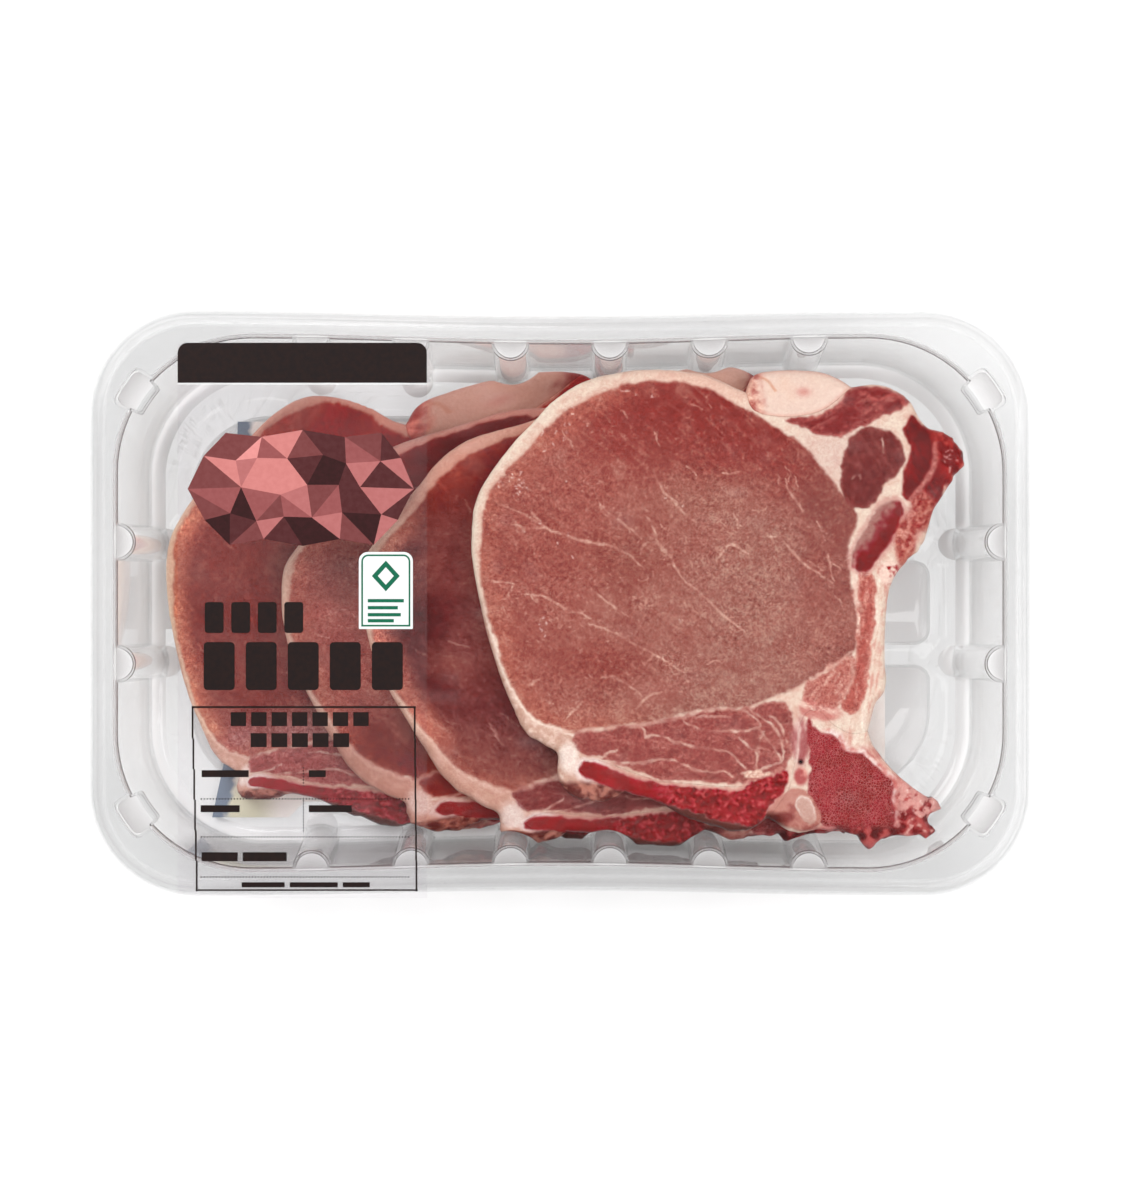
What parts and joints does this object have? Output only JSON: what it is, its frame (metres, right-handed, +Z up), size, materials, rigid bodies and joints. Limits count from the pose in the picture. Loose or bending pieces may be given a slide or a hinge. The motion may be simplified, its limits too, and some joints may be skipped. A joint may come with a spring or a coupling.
{
  "type": "meat tray pack",
  "caption": "Clear sealed shallow tray with a flanged rim, clear lid film and printed clear label, holding overlapping bone-in pork chops on an absorbent pad.",
  "frame": {"origin": "middle of the tray's foot, on the surface it rests on", "axes": "+X along the tray's long sides, towards the end with the chops' chine bones; +Y towards the long side with the label's black bar; +Z up"},
  "size_m": [0.23, 0.1436, 0.0459],
  "materials": {
    "clear_plastic": "clear rigid PET sheet, glossy",
    "clear_film": "clear thin film, glossy",
    "printed_clear_label": "clear sticker with dark print",
    "absorbent_pad": "matt embossed white pad",
    "raw_pork": "moist raw lean meat with a pale fat rim",
    "rib_bone": "moist red cut bone",
    "chine_bone": "moist red cut bone",
    "cartilage": "moist pale cartilage"
  },
  "bodies": {
    "root": {"tray": "clear_plastic", "lid_film": "clear_film", "label": "printed_clear_label", "absorbent_pad": "absorbent_pad", "chop_1_meat": "raw_pork", "chop_1_rib_bone": "rib_bone", "chop_1_chine_bone": "chine_bone", "chop_1_cartilage": "cartilage", "chop_2_meat": "raw_pork", "chop_2_rib_bone": "rib_bone", "chop_2_chine_bone": "chine_bone", "chop_2_cartilage": "cartilage", "chop_3_meat": "raw_pork", "chop_3_rib_bone": "rib_bone", "chop_3_chine_bone": "chine_bone", "chop_3_cartilage": "cartilage", "chop_4_meat": "raw_pork", "chop_4_rib_bone": "rib_bone", "chop_4_chine_bone": "chine_bone", "chop_4_cartilage": "cartilage"}
  },
  "joints": []
}
